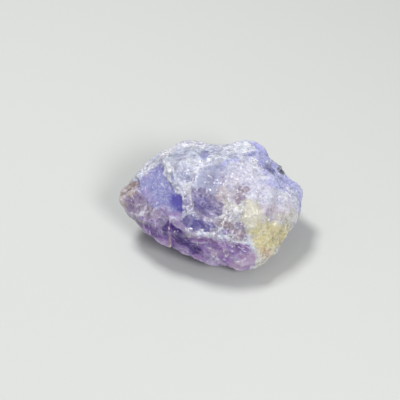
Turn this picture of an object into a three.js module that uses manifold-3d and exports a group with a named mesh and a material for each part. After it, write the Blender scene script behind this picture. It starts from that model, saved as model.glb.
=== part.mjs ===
// Rough hackmanite crystal: a broken chunk of violet sodalite, at rest on a small flat spot of its underside.
// Millimetres, +Z up, +X along its length, the viewer on the -Y side. The origin is under the box's middle.
import * as THREE from "three";
import { ConvexHull } from "three/addons/math/ConvexHull.js";
import { ImprovedNoise } from "three/addons/math/ImprovedNoise.js";
import { mergeVertices } from "three/addons/utils/BufferGeometryUtils.js";
import Module from "manifold-3d";

// Driving dimensions
const CORE_HEIGHT = 9; // the middle that all landmarks are laid out round, above the resting face
const LOOK_DOWN = THREE.MathUtils.degToRad(42); // the seen side is laid out as it looks from this high
const FACE_EDGE = 1.3; // the longest edge of a small face, before the relief moves its corners
const BASE_DEPTH = 0.9; // how far the rounded underside would reach below the flat spot that it rests on

// Wear rounds the edges where facets meet. Each round draws the surface in, then lets it back out.
const WEAR_ROUNDS = 2;
const WEAR_IN = 0.5;
const WEAR_OUT = -0.53;

// Relief of the broken surface: broad swells, then large scars and small chips, all shell-shaped.
const SWELL_SIZE = 7;
const SWELL_HEIGHT = 0.3;
const SWELL_START = new THREE.Vector3(11.3, 4.7, 8.1); // another start gives another stone
const SCAR_SIZE = 5;
const SCAR_DEPTH = 0.28;
const CHIP_SIZE = 2.4;
const CHIP_DEPTH = 0.16;
const SCAR_CURVE = 4; // a bowl rises by its depth at half a grid step from its middle
const SCAR_TILT = 1.8; // how steeply a bowl is tilted at most, and how far its level
const SCAR_STEP = 0.9; // differs from its neighbours', both as shares of its depth
const SCAR_RIM = 2; // how high a bowl rises before its rim is broken off, as a share of its depth
const SCAR_LEVEL = 1.0; // the mean height in a bowl, taken off so that the relief goes in as much as out

// The smoother glassy window: its middle as [across, up, out], how far the glass and its
// edge reach from there, and the share of the relief that is left on it.
const WINDOW_MIDDLE = [-9.6, 2.6, 5.6];
const WINDOW_GLASS = 3.3;
const WINDOW_EDGE = 5.5;
const WINDOW_RELIEF = 0.15;

// Landmarks of the seen side, each [across, up, out] from the stone's middle as it is looked down on.
const OUTLINE = [
  // the low wing at the left end
  [-19.0, 1.3, 1], [-18.3, 3.3, -0.5], [-17.1, 4.5, -2], [-15.0, 4.4, -2.5],
  // up the left shoulder and along the crest
  [-14.4, 6.9, -0.5], [-14.1, 7.8, -1], [-12.5, 9.1, -1.5], [-10.9, 10.8, -2], [-8.8, 11.9, -2.5],
  [-6.2, 13.4, -3], [-3.7, 13.5, -3.5], [-1.8, 13.5, -3.5], [0.2, 12.9, -3], [3.1, 12.8, -3.5],
  [5.1, 13.5, -3.5], [7.4, 13.9, -4], [9.2, 13.6, -5],
  // down the right shoulder to the blunt right end
  [11.1, 12.3, -5.5], [12.6, 10.3, -5.5], [14.1, 8.8, -5.5], [16.2, 5.6, -4.5], [18.0, 4.6, -3.5],
  [18.9, 2.6, -2], [19.0, 0.3, -1],
  // back along the bottom, under the stained corner and the violet wall
  [18.0, -2.8, -0.5], [16.6, -5.1, 0.5], [15.0, -6.9, 1.5], [13.1, -9.3, 2.5], [10.9, -11.4, 3.5],
  [8.0, -12.5, 4.5], [5.5, -13.3, 5], [3.1, -12.3, 5.5], [0.4, -11.8, 5.5], [-2.5, -10.9, 5.5],
  [-5.5, -9.6, 5.5], [-8.2, -8.5, 5], [-10.7, -7.8, 4.5], [-13.1, -5.9, 3.5], [-15.0, -3.8, 2.5],
  [-17.0, -1.5, 1.5],
];
const CRUSTED_BLOCK = [
  // its broken edge over the glassy window, then round by the centre and the crest
  [-10.3, 10.1, 1.2], [-9.0, 7.7, 3.9], [-8.0, 5.2, 6.0], [-6.4, 3.2, 8.0], [-4.3, 2.8, 9.0],
  [-3.7, 5.6, 7.9], [-1.8, 7.7, 6.6], [0.4, 9.7, 4.6], [-4.7, 12.0, -0.5], [-0.6, 11.4, 0.8],
  [-5.7, 8.3, 5.6],
];
const GLASSY_WINDOW = [
  [-11.1, 9.1, 0.8], [-9.6, 7.3, 2.7], [-8.6, 4.8, 4.9], [-7.2, 2.8, 6.7], [-5.7, 1.5, 8.0],
  [-5.8, -1.5, 9.0], [-8.4, -1.7, 8.0], [-11.7, -0.1, 5.8], [-13.9, 2.2, 3.4], [-14.6, 4.8, 1.0],
];
const WING_AND_SHELF = [
  [-15.8, 3.6, -0.5], [-17.2, 1.9, 1.5], [-15.2, 0.3, 3.0],
  // the shelf's outer edge, above the violet wall
  [-16.0, -1.7, 3.0], [-14.6, -2.6, 4.8], [-12.1, -3.4, 6.8], [-9.4, -3.2, 8.3], [-8.2, -2.6, 8.8],
];
const BLUE_STEP = [
  [-5.5, -2.2, 9.2], [-2.1, -2.6, 9.9], [-1.4, -4.8, 10.0], [-3.9, -5.4, 9.3], [-5.7, -3.8, 9.1],
];
const CENTRE = [
  // a rib beside the window, the scoop and its lower lip
  [-4.7, 1.1, 9.6], [-4.3, -1.5, 10.2], [-2.3, 2.2, 8.3], [-1.2, -0.5, 8.9], [0.4, 1.1, 8.6],
  [0.8, 6.3, 6.7], [2.3, 4.2, 8.2], [-1.2, -2.8, 10.3], [2.3, -3.2, 10.6],
  // the white ridge between the scoop and the dome
  [3.7, 1.7, 9.6], [5.1, -0.9, 10.4], [4.3, -2.6, 10.7], [7.2, -2.4, 10.3],
];
const VIOLET_WALL = [
  // the ledge's lip, then the undercut below it
  [-2.3, -6.0, 10.2], [0.8, -6.7, 10.3], [4.3, -7.1, 10.1], [7.2, -8.1, 9.3], [9.4, -10.6, 6.6],
  [-2.3, -7.1, 8.8], [1.8, -7.7, 9.0], [5.9, -9.1, 8.4],
  // the two facets beside the notch, and the foot of the wall
  [-7.8, -3.6, 8.2], [-5.1, -5.4, 8.6], [-2.7, -8.7, 7.6], [-13.1, -3.8, 5.5], [-10.5, -5.4, 6.3],
  [2.3, -10.8, 7.0], [5.9, -11.6, 6.6],
];
const FROSTED_DOME = [
  [5.5, 9.3, 2.8], [8.0, 8.7, 2.5], [9.6, 8.3, 1.8], [8.0, 5.2, 6.6], [10.5, 2.2, 7.3],
  [12.5, 5.6, 3.8], [14.1, 3.2, 3.9], [16.6, 1.5, 2.2], [17.2, -1.3, 1.8], [14.8, -1.5, 4.8],
  [11.3, -1.5, 7.7], [8.4, 1.1, 8.9], [10.5, -2.6, 8.6], [14.1, -3.8, 5.6],
];
const STAINED_CORNER = [
  [8.0, -5.0, 9.6], [10.5, -6.7, 7.5], [13.1, -6.3, 5.3], [11.3, -9.1, 5.4],
];
const RIGHT_CREST = [
  // the bright facet on the crest, the groove under it, and the blue band behind the dome
  [3.5, 11.8, -1.5], [4.3, 10.8, 0.2], [7.2, 11.0, -0.2], [9.4, 11.4, -1.8], [8.4, 12.8, -3.5],
  [4.5, 9.9, 1.2], [8.0, 10.1, 0.2], [10.5, 9.3, -0.6], [12.1, 7.3, 0.2], [14.1, 5.2, -0.2],
  [16.6, 3.8, -0.4],
];

// Landmarks of the hidden back and underside, each [x, y, z] from the origin.
const BACK = [
  [-15.0, 5.0, 8.5], [-12.0, 9.0, 9.5], [-6.0, 12.3, 10], [-2.0, 12.0, 13.5], [1.5, 13.2, 8.5],
  [8.0, 14.3, 9.5], [12.8, 11.8, 9], [16.3, 7.3, 9], [18.2, 3.0, 7.5], [4.5, 12.5, 13.5],
  [-13.0, 5.5, 4.0], [-8.0, 8.8, 3.0], [0.0, 11.2, 3.5], [7.0, 11.8, 2.8], [12.8, 8.8, 3.6],
  [16.0, 4.0, 4.0],
  // the blunt underside of the wing
  [-16.8, 5.2, 9.0], [-16.8, 2.6, 6.4], [-14.6, 0.8, 4.8],
];
const UNDERSIDE = [
  [-9.5, 2.0, 1.4], [-7.0, -0.6, 1.2], [-3.0, -4.0, 1.0], [1.0, -6.2, 0.9], [4.5, -8.0, 1.2],
  [8.0, -6.3, 0.8], [11.0, -3.0, 0.9], [12.3, 1.0, 1.2], [10.5, 5.5, 1.0], [5.0, 8.3, 1.1],
  [-1.0, 7.8, 0.9], [-6.0, 6.2, 1.3],
];
// the spot that it rests on, [x, y]
const RESTING_SPOT = [
  [-4.6, 1.2], [-1.4, -2.2], [3.2, -3.8], [6.8, -1.6], [7.4, 2.4], [3.6, 4.6], [-1.6, 4.0], [1.4, 0.4],
];

// The dark mineral grain that grew into the right shoulder.
const GRAIN_AT = [13.9, 7.5, -4.2];
const GRAIN_SIZE = [1.3, 1.05, 1.1];
const GRAIN_TURN = 0.6;
const GRAIN_TILT = 0.4;

function fromView([across, up, out]) {
  const sin = Math.sin(LOOK_DOWN);
  const cos = Math.cos(LOOK_DOWN);
  return new THREE.Vector3(across, up * sin - out * cos, up * cos + out * sin);
}

function fromFloor([x, y, z]) {
  return new THREE.Vector3(x, y, z - CORE_HEIGHT);
}

// A closed shell of flat facets. Its corners are the landmarks, joined as their directions neighbour.
function facetedCage(landmarks) {
  const directions = landmarks.map((point) => point.clone().normalize());
  const hull = new ConvexHull().setFromPoints(directions);
  return hull.faces.map((face) => {
    const corners = [face.edge, face.edge.next, face.edge.next.next];
    return corners.map((edge) => directions.indexOf(edge.head().point));
  });
}

// Splits every edge that is the longest of a face and too long, until none is left.
function splitLongEdges(points, faces, longest) {
  for (;;) {
    const middles = new Map();
    const key = (a, b) => (a < b ? `${a},${b}` : `${b},${a}`);
    for (const face of faces) {
      const lengths = face.map((a, i) => points[a].distanceTo(points[face[(i + 1) % 3]]));
      const most = Math.max(...lengths);
      const i = lengths.indexOf(most);
      const name = key(face[i], face[(i + 1) % 3]);
      if (most > longest && !middles.has(name)) {
        const middle = points[face[i]].clone().lerp(points[face[(i + 1) % 3]], 0.5);
        middles.set(name, points.push(middle) - 1);
      }
    }
    if (middles.size === 0) return faces;
    faces = faces.flatMap((face) => {
      const cuts = face.map((a, i) => middles.get(key(a, face[(i + 1) % 3])));
      return splitFace(face, cuts);
    });
  }
}

// The smaller faces that one face becomes, given the new corner on each edge, or undefined where none is.
function splitFace([a, b, c], [ab, bc, ca]) {
  const count = [ab, bc, ca].filter((middle) => middle !== undefined).length;
  if (count === 0) return [[a, b, c]];
  if (count === 3) return [[a, ab, ca], [ab, b, bc], [ca, bc, c], [ab, bc, ca]];
  if (ab === undefined) return splitFace([b, c, a], [bc, ca, ab]);
  if (count === 1) return [[a, ab, c], [ab, b, c]];
  if (bc === undefined) return [[a, ab, ca], [ab, b, c], [ab, c, ca]];
  return [[ab, b, bc], [a, ab, c], [ab, bc, c]];
}

// Steps without a common measure, so that the numbers of neighbouring corners have nothing in common.
const SCATTER_STEPS = [127.1, 311.7, 74.7];
const SALT_STEP = 53.3;
const SCATTER_SPREAD = 43758.5453;

// A repeatable number from 0 to 1 for one corner of a grid.
function scatter(i, j, k, salt) {
  const [across, along, up] = SCATTER_STEPS;
  const wave = Math.sin(i * across + j * along + k * up + salt * SALT_STEP) * SCATTER_SPREAD;
  return wave - Math.floor(wave);
}

// The height left by shell-shaped breaks: each is a shallow tilted bowl, and sharp ridges part them.
function scars(point, size, depth) {
  const home = point.clone().divideScalar(size).floor();
  let height = Infinity;
  for (let i = home.x - 1; i <= home.x + 1; i++)
    for (let j = home.y - 1; j <= home.y + 1; j++)
      for (let k = home.z - 1; k <= home.z + 1; k++) {
        const random = [1, 2, 3, 4, 5, 6, 7].map((salt) => scatter(i, j, k, salt));
        const seed = new THREE.Vector3(i + random[0], j + random[1], k + random[2]);
        const away = point.clone().divideScalar(size).sub(seed);
        const tilt = new THREE.Vector3(random[3] - 0.5, random[4] - 0.5, random[5] - 0.5);
        const level = SCAR_TILT * tilt.dot(away) + SCAR_STEP * (random[6] - 0.5);
        height = Math.min(height, SCAR_CURVE * away.lengthSq() + level);
      }
  return depth * (Math.min(height, SCAR_RIM) - SCAR_LEVEL);
}

const noise = new ImprovedNoise();

function swell(point) {
  const place = point.clone().divideScalar(SWELL_SIZE).add(SWELL_START);
  return SWELL_HEIGHT * noise.noise(place.x, place.y, place.z);
}

// The share of the broken relief at a point: little on the smooth glassy window, all of it away from there.
function roughness(point) {
  const away = point.distanceTo(fromView(WINDOW_MIDDLE));
  const edge = THREE.MathUtils.smoothstep(away, WINDOW_GLASS, WINDOW_EDGE);
  return THREE.MathUtils.lerp(WINDOW_RELIEF, 1, edge);
}

function relief(point) {
  const broken = scars(point, SCAR_SIZE, SCAR_DEPTH) + scars(point, CHIP_SIZE, CHIP_DEPTH);
  return swell(point) + broken * roughness(point);
}

// Draws every point towards its neighbours' middle and then back out: edges are rounded, the size is kept.
function worn(points, faces, rounds) {
  const neighbours = points.map(() => new Set());
  for (const [a, b, c] of faces) {
    neighbours[a].add(b).add(c);
    neighbours[b].add(c).add(a);
    neighbours[c].add(a).add(b);
  }
  const middleOf = (around, all) => {
    const middle = new THREE.Vector3();
    for (const i of around) middle.add(all[i]);
    return middle.divideScalar(around.size);
  };
  let moved = points;
  for (let round = 0; round < rounds; round++)
    for (const pull of [WEAR_IN, WEAR_OUT]) {
      const before = moved;
      moved = before.map((point, i) => point.clone().lerp(middleOf(neighbours[i], before), pull));
    }
  return moved;
}

function brokenChunk() {
  const seen = [
    OUTLINE, CRUSTED_BLOCK, GLASSY_WINDOW, WING_AND_SHELF, BLUE_STEP, CENTRE, VIOLET_WALL,
    FROSTED_DOME, STAINED_CORNER, RIGHT_CREST,
  ].flat();
  const hidden = [...BACK, ...UNDERSIDE, ...RESTING_SPOT.map(([x, y]) => [x, y, -BASE_DEPTH])];
  const points = [...seen.map(fromView), ...hidden.map(fromFloor)];
  const faces = splitLongEdges(points, facetedCage(points), FACE_EDGE);
  const rounded = worn(points, faces, WEAR_ROUNDS);
  const moved = rounded.map((point) => point.clone().setLength(point.length() + relief(point)));
  const geometry = new THREE.BufferGeometry().setFromPoints(moved);
  geometry.setIndex(faces.flat());
  return geometry.translate(0, 0, CORE_HEIGHT);
}

function darkGrain() {
  const middle = fromView(GRAIN_AT);
  const geometry = new THREE.DodecahedronGeometry(1);
  geometry.scale(...GRAIN_SIZE).rotateZ(GRAIN_TURN).rotateX(GRAIN_TILT);
  return geometry.translate(middle.x, middle.y, middle.z + CORE_HEIGHT);
}

// All below the flat spot that the stone rests on.
const FLOOR_SIZE = 80;
function ground() {
  return new THREE.BoxGeometry(FLOOR_SIZE, FLOOR_SIZE, FLOOR_SIZE).translate(0, 0, -FLOOR_SIZE / 2);
}

const wasm = await Module();
wasm.setup();

function solidOf(geometry) {
  const bare = geometry.clone();
  bare.deleteAttribute("normal");
  bare.deleteAttribute("uv");
  const merged = mergeVertices(bare);
  return new wasm.Manifold(
    new wasm.Mesh({
      numProp: 3,
      vertProperties: merged.attributes.position.array,
      triVerts: new Uint32Array(merged.index.array),
    }),
  );
}

function geometryOf(solid) {
  const mesh = solid.getMesh();
  const geometry = new THREE.BufferGeometry();
  geometry.setAttribute("position", new THREE.BufferAttribute(mesh.vertProperties, 3));
  geometry.setIndex(new THREE.BufferAttribute(mesh.triVerts, 1));
  geometry.computeVertexNormals();
  return geometry;
}

// The grain is fused to the chunk, the underside is cut flat, and the box is centred over the origin.
function finishedStone() {
  const stone = solidOf(brokenChunk()).add(solidOf(darkGrain())).subtract(solidOf(ground()));
  const geometry = geometryOf(stone);
  geometry.computeBoundingBox();
  const middle = geometry.boundingBox.getCenter(new THREE.Vector3());
  return geometry.translate(-middle.x, -middle.y, 0);
}

const crystal = new THREE.Mesh(
  finishedStone(),
  new THREE.MeshStandardMaterial({ color: 0xb4b3d6, roughness: 0.4, metalness: 0, flatShading: true }),
);
crystal.name = "hackmanite_crystal";

const part = new THREE.Group();
part.add(crystal);
export default part;
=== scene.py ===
# Rough hackmanite crystal on a plain pale table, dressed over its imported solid.
# The stone keeps the solid's form. Its surface is made finer here, and takes its breaks, patches and veins.
import math

import bpy
import numpy as np
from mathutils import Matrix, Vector, noise


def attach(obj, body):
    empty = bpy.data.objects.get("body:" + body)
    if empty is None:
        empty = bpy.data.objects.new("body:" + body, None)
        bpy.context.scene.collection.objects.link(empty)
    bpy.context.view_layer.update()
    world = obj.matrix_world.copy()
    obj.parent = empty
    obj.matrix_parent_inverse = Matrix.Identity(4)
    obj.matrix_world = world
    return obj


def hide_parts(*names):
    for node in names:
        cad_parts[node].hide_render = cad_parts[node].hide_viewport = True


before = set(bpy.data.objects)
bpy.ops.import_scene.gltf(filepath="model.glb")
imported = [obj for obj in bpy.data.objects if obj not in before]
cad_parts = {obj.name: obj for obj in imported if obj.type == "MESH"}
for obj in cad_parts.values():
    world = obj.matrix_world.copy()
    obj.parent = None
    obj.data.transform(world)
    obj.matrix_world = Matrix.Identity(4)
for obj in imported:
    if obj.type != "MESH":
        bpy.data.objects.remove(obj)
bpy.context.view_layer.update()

MM = 0.001
NODE = "hackmanite_crystal"

# How the photograph sees the stone. Its frame is 400 pixels square, and distances are in millimetres.
FRAME_PIXELS = 400
MM_PER_PIXEL = 0.205
LOOK_DOWN = math.radians(42)
VIEW_DISTANCE = 250
SENSOR_WIDTH = 36
STONE_PIXEL = (211, 205.5)
STONE_MIDDLE = np.array([-0.05, -0.49, 9.0])

ACROSS = np.array([1.0, 0.0, 0.0])
UP = np.array([0.0, math.sin(LOOK_DOWN), math.cos(LOOK_DOWN)])
OUT = np.array([0.0, -math.cos(LOOK_DOWN), math.sin(LOOK_DOWN)])
AIM = (
    STONE_MIDDLE
    + ACROSS * (FRAME_PIXELS / 2 - STONE_PIXEL[0]) * MM_PER_PIXEL
    - UP * (FRAME_PIXELS / 2 - STONE_PIXEL[1]) * MM_PER_PIXEL
)


# The fine surface, in millimetres: points this near are one, the grid, and how its small faces are smoothed
ONE_POINT = 0.001
GRID = 0.19
SMOOTH_ROUNDS = 5
SMOOTH_SHARE = 0.5

# Points below this height belong to the flat spot that the stone rests on.
RESTING_HEIGHT = 0.12

# Shell-shaped breaks: size and depth of the larger and the smaller, and the frost between them
SHELL_SIZE = 2.2
SHELL_DEPTH = 0.3
CHIP_SIZE = 1.0
CHIP_DEPTH = 0.145
FROST_SIZE = 0.42
FROST_DEPTH = 0.045

# How steeply breaks tilt, how hollow they are, and how much they step from one to the next
SHELL_TILT = 3.2
SHELL_HOLLOW = 1.6
SHELL_STEP = 0.5

# Breaks are lower in glass, smoke and frosted faces, and where nothing is crushed.
LOWER_IN_GLASS = 0.85
LOWER_IN_SMOKE = 0.6
LOWER_IN_FROST = 0.45
UNCRUSHED_SHARE = 0.6

# Over how many steps of the grid a ridge or hollow is measured, and how high a full ridge is in millimetres
RIDGE_ROUNDS = 30
RIDGE_HEIGHT = 0.12

# Noise and chance run from 0 to 1 about this middle.
MIDDLE = 0.5


def seen_places(points):
    """The photograph's pixel at which each point of the stone, in millimetres, is seen."""
    away = points - AIM
    scale = VIEW_DISTANCE / (VIEW_DISTANCE - away @ OUT) / MM_PER_PIXEL
    across = FRAME_PIXELS / 2 + (away @ ACROSS) * scale
    down = FRAME_PIXELS / 2 - (away @ UP) * scale
    return np.stack([across, down], axis=1)


# Camera, table and light


def camera():
    lens = bpy.data.cameras.new("camera")
    lens.sensor_width = SENSOR_WIDTH
    lens.lens = SENSOR_WIDTH * VIEW_DISTANCE / (FRAME_PIXELS * MM_PER_PIXEL)
    lens.clip_start = 10 * MM
    eye = bpy.data.objects.new("camera", lens)
    eye.location = Vector(AIM + OUT * VIEW_DISTANCE) * MM
    eye.rotation_euler = (math.pi / 2 - LOOK_DOWN, 0, 0)
    bpy.context.scene.collection.objects.link(eye)
    bpy.context.scene.camera = eye


def soft_light(name, place, size, power):
    lamp = bpy.data.lights.new(name, "AREA")
    lamp.shape = "DISK"
    lamp.size = size * MM
    lamp.energy = power
    holder = bpy.data.objects.new(name, lamp)
    holder.location = Vector(place) * MM
    towards_stone = Vector(STONE_MIDDLE) * MM - holder.location
    holder.rotation_euler = towards_stone.to_track_quat("-Z", "Y").to_euler()
    bpy.context.scene.collection.objects.link(holder)


def studio():
    soft_light("window light above", (-115, 90, 365), size=110, power=1.0)
    soft_light("soft light from the front", (150, -300, 280), size=140, power=1.08)
    world = bpy.data.worlds.new("pale room")
    world.use_nodes = True
    air = world.node_tree.nodes["Background"]
    air.inputs["Color"].default_value = linear("#f2f3f5")
    air.inputs["Strength"].default_value = 0.36
    bpy.context.scene.world = world
    bpy.context.scene.view_settings.view_transform = "Standard"


def table():
    bpy.ops.object.select_all(action="DESELECT")
    bpy.ops.mesh.primitive_plane_add(size=2)
    top = bpy.context.object
    top.name = "table_top"
    top.data.materials.append(material_table())


# Materials


def linear(hex_colour):
    """An sRGB hex value as the linear colour that Blender's sockets take."""
    parts = [int(hex_colour[i : i + 2], 16) / 255 for i in (1, 3, 5)]
    return [c / 12.92 if c <= 0.04045 else ((c + 0.055) / 1.055) ** 2.4 for c in parts] + [1.0]


def add(tree, kind, inputs=None, **settings):
    """Adds a node with its settings. An input is a value, or a socket that is linked to it."""
    node = tree.nodes.new("ShaderNode" + kind)
    for name, value in settings.items():
        setattr(node, name, value)
    for name, value in (inputs or {}).items():
        if isinstance(value, bpy.types.NodeSocket):
            tree.links.new(value, node.inputs[name])
        else:
            node.inputs[name].default_value = value
    return node


def per_mm(size):
    """A texture's scale for a pattern of this size in millimetres."""
    return 1 / (size * MM)


def material_table():
    # Matt painted board: soft, even and pale, with no gloss to speak of.
    material = bpy.data.materials.new("matt_painted_board")
    material.use_nodes = True
    paint = material.node_tree.nodes["Principled BSDF"]
    paint.inputs["Base Color"].default_value = linear("#c9cbc8")
    paint.inputs["Roughness"].default_value = 0.8
    return material


# The stone's colours by daylight, from the lowest layer up. Each has its name, its colour, and how sharply it
# ends. Veils of bubbles lie over the first list, and under the second.
PALE_BLUE = "#c1c9d7"
PALE_GREY = "#ccced7"
WHITE = "#f5f6fa"
FROST_WHITE = "#e8e8f0"
VEIL_LILAC = "#c4c4da"
STREAK_LILAC = "#aa9ec0"
CLOUDY_COLOURS = [
    ("frosted", "#d2d2e0", 1.2),
    ("centre_glass", "#a9acc4", 1.5),
    ("blue_band", "#b6b8e6", 1.5),
    ("periwinkle", "#8e90bb", 2.0),
    ("window", "#8c8dbb", 1.4),
    ("smoke", "#7d7592", 1.5),
    ("violet", "#9c77b3", 2.0),
    ("mauve", "#9a8ba4", 1.5),
    ("plum", "#6a4292", 1.6),
    ("slate", "#635b93", 1.6),
    ("rose", "#cab8bd", 1.3),
]
CLEAR_COLOURS = [
    ("deep_violet", "#402070", 1.6),
    ("window_depth", "#5952a0", 1.2),
    ("deep_blue", "#5750a0", 1.4),
    ("lilac", "#9c89b4", 1.2),
    ("tan", "#a2918d", 1.3),
    ("cream", "#d3cfbf", 1.2),
    ("stain", "#d8ce9f", 1.3),
    ("peach", "#dbb792", 1.2),
    ("dark_mineral", "#636879", 2.0),
]

# How much red, green and blue the deeper veils and streaks leave of what is below them, and the painted shade
# in hollows
VEIL_SHADE = (0.72, 0.68, 0.84, 1)
STREAK_SHADE = (0.7, 0.64, 0.79, 1)
PAINTED_HOLLOW_SHADE = (0.66, 0.65, 0.74, 1)

# The same for the painted light and shade of facets, flakes and grains, from the darkest to the lightest
FACET_SHADES = (0.74, 0.74, 0.82, 1), (1.19, 1.19, 1.17, 1)
FLAKE_SHADES = (0.81, 0.8, 0.86, 1), (1.13, 1.13, 1.11, 1)
GRAIN_SHADES = (0.83, 0.82, 0.87, 1), (1.11, 1.11, 1.09, 1)

# Sizes in the broken surface, in millimetres. Real frost is finer than the picture shows, so the smallest of
# these are drawn as coarse as they need to be seen.
FACET = 2.4
FLAKE = 0.9
GRAIN = 0.4
CLOUD = 3.5
FLECK = 0.5
CRACK = 1.7
CRACK_RUN = 1.6 * CRACK
VEIL = 2.2
THREAD = 1.1
STREAK = 0.45
SWAY = 1.4
SWAY_REACH = 1.0

# Veils are drawn out most in the direction with the smallest number, and turned by these radians.
VEIL_SQUEEZE = (1.0, 0.28, 0.6)
VEIL_TURN = (0.3, 0.5, 0.9)

# Streaks are this many times as long as they are wide, and run down to the right as the stone is seen. The
# turn is in radians.
STREAK_LENGTH = 6
STREAK_TURN = (0, 0.405, -0.397)

# Cracks are white where a value comes this near 0, across the facets and between them.
CRACK_ACROSS = 0.02
CRACK_BETWEEN = 0.07


def flakes(tree, place, size):
    """Flakes of this size: a colour that is each one's own chance, and its own tilt as a height."""
    cells = add(tree, "TexVoronoi", {"Vector": place, "Scale": per_mm(size)})
    chance = cells.outputs["Color"]
    away = add(tree, "VectorMath", {0: place, 1: cells.outputs["Position"]}, operation="SUBTRACT")
    slope = add(tree, "VectorMath", {0: chance, 1: (MIDDLE,) * 3}, operation="SUBTRACT")
    tilt = add(tree, "VectorMath", {0: away.outputs[0], 1: slope.outputs[0]}, operation="DOT_PRODUCT")
    return chance, tilt.outputs["Value"]


def wandering(tree, place):
    """The place, moved by about a quarter of a millimetre, so that no pattern on it is regular."""
    sway = add(tree, "TexNoise", {"Vector": place, "Scale": per_mm(SWAY), "Detail": 3.0}).outputs["Color"]
    swing = add(tree, "VectorMath", {0: sway, 1: (MIDDLE,) * 3}, operation="SUBTRACT").outputs[0]
    reach = (SWAY_REACH * MM,) * 3
    return add(tree, "VectorMath", {0: swing, 1: reach, 2: place}, operation="MULTIPLY_ADD").outputs[0]


def milky_body(tree, place):
    """The body's own colour, which drifts between grey and blue."""
    clouds = add(tree, "TexNoise", {"Vector": place, "Scale": per_mm(CLOUD), "Detail": 4.0})
    blue = {"Value": clouds.outputs["Fac"], "From Min": 0.4, "From Max": 0.62}
    blue = add(tree, "MapRange", blue).outputs[0]
    ends = {0: blue, 6: linear(PALE_GREY), 7: linear(PALE_BLUE)}
    return add(tree, "Mix", ends, data_type="RGBA").outputs[2]


def jaggedness(tree, place, flake_chance):
    """How far an edge is thrown out or in, from flake to flake and from fleck to fleck."""
    fleck = {"Vector": place, "Scale": per_mm(FLECK), "Detail": 4.0, "Roughness": 0.72}
    fleck = add(tree, "TexNoise", fleck).outputs["Fac"]
    fleck = add(tree, "Math", {0: fleck, 1: MIDDLE}, operation="SUBTRACT").outputs[0]
    steps = add(tree, "Math", {0: flake_chance, 1: MIDDLE}, operation="SUBTRACT").outputs[0]
    return add(tree, "Math", {0: steps, 1: 0.7, 2: fleck}, operation="MULTIPLY_ADD").outputs[0]


def patches_of_colour(tree, masks, jagged, colours):
    """Patches of colour. Their edges follow the flakes of crushed stone, and are smooth in glass."""
    frayed = add(tree, "MapRange", {"Value": masks["crushed"], "To Min": 0.2, "To Max": 1.5}).outputs[0]
    frayed = add(tree, "Math", {0: jagged, 1: frayed}, operation="MULTIPLY").outputs[0]
    layers = []
    for name, colour, sharp in colours:
        inputs = {0: frayed, 1: masks[name], 2: masks[name]}
        ragged = add(tree, "Math", inputs, operation="MULTIPLY_ADD").outputs[0]
        half_width = 0.5 / sharp
        ends = {"Value": ragged, "From Min": MIDDLE - half_width, "From Max": MIDDLE + half_width}
        layers.append((add(tree, "MapRange", ends).outputs[0], linear(colour), "MIX"))
    return layers


def bubble_veils(tree, bent):
    """Veils of tiny bubbles, long and thin, pale where they are dense and deeper in colour between."""
    turned = {"Vector": bent, "Rotation": VEIL_TURN, "Scale": VEIL_SQUEEZE}
    turned = add(tree, "Mapping", turned).outputs[0]
    veils = {"Vector": turned, "Scale": per_mm(VEIL), "Detail": 5.0, "Roughness": 0.65}
    veils = add(tree, "TexNoise", veils).outputs["Fac"]
    dense = {"Value": veils, "From Min": MIDDLE, "From Max": 0.75, "To Max": 0.5}
    thin = {"Value": veils, "From Min": MIDDLE, "From Max": 0.3, "To Max": 0.5}
    return [
        (add(tree, "MapRange", dense).outputs[0], linear(VEIL_LILAC), "MIX"),
        (add(tree, "MapRange", thin).outputs[0], VEIL_SHADE, "MULTIPLY"),
    ]


def window_threads(tree, place, masks):
    """Threads of bubbles that hang in the window."""
    threads = add(tree, "TexNoise", {"Vector": place, "Scale": per_mm(THREAD), "Detail": 2.0}).outputs["Fac"]
    threads = add(tree, "Math", {0: threads, 1: MIDDLE}, operation="SUBTRACT").outputs[0]
    threads = add(tree, "Math", {0: threads}, operation="ABSOLUTE").outputs[0]
    threads = {"Value": threads, "From Max": 0.05, "To Min": 0.5, "To Max": 0.0}
    threads = add(tree, "MapRange", threads).outputs[0]
    threads = add(tree, "Math", {0: threads, 1: masks["window"]}, operation="MULTIPLY").outputs[0]
    return [(threads, linear(VEIL_LILAC), "MIX")]


def fine_streaks(tree, bent, masks):
    """Fine streaks, darker and paler, that run down the scooped breaks."""
    laid = {"Vector": bent, "Rotation": STREAK_TURN, "Scale": (STREAK_LENGTH, 1, 1)}
    laid = add(tree, "Mapping", laid, vector_type="TEXTURE").outputs[0]
    streaks = {"Vector": laid, "Scale": per_mm(STREAK), "Detail": 3.0, "Roughness": 0.6}
    streaks = add(tree, "TexNoise", streaks).outputs["Fac"]
    layers = []
    for end, colour, blend in [(0.3, STREAK_SHADE, "MULTIPLY"), (0.7, linear(STREAK_LILAC), "MIX")]:
        streak = {"Value": streaks, "From Min": MIDDLE, "From Max": end, "To Max": 0.62}
        streak = add(tree, "MapRange", streak).outputs[0]
        streak = add(tree, "Math", {0: streak, 1: masks["streaked"]}, operation="MULTIPLY").outputs[0]
        layers.append((streak, colour, blend))
    return layers


def painted_light_on_turned_faces(tree, facet_chance, flake_chance, grain_chance, masks):
    """Painted light and shade: each facet, flake and grain of a crushed break is painted darker or lighter,
    as it turns its own way to the light.
    """
    layers = []
    for chance, (least, most), mask, start, end in [
        (facet_chance, FACET_SHADES, "crushed", 0.05, 0.9),
        (flake_chance, FLAKE_SHADES, "crushed", 0.1, 0.8),
        (grain_chance, GRAIN_SHADES, "glass", 1.0, 0.2),
    ]:
        turned = add(tree, "Mix", {0: chance, 6: least, 7: most}, data_type="RGBA")
        much = add(tree, "MapRange", {"Value": masks[mask], "To Min": start, "To Max": end})
        layers.append((much.outputs[0], turned.outputs[2], "MULTIPLY"))
    return layers


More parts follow.
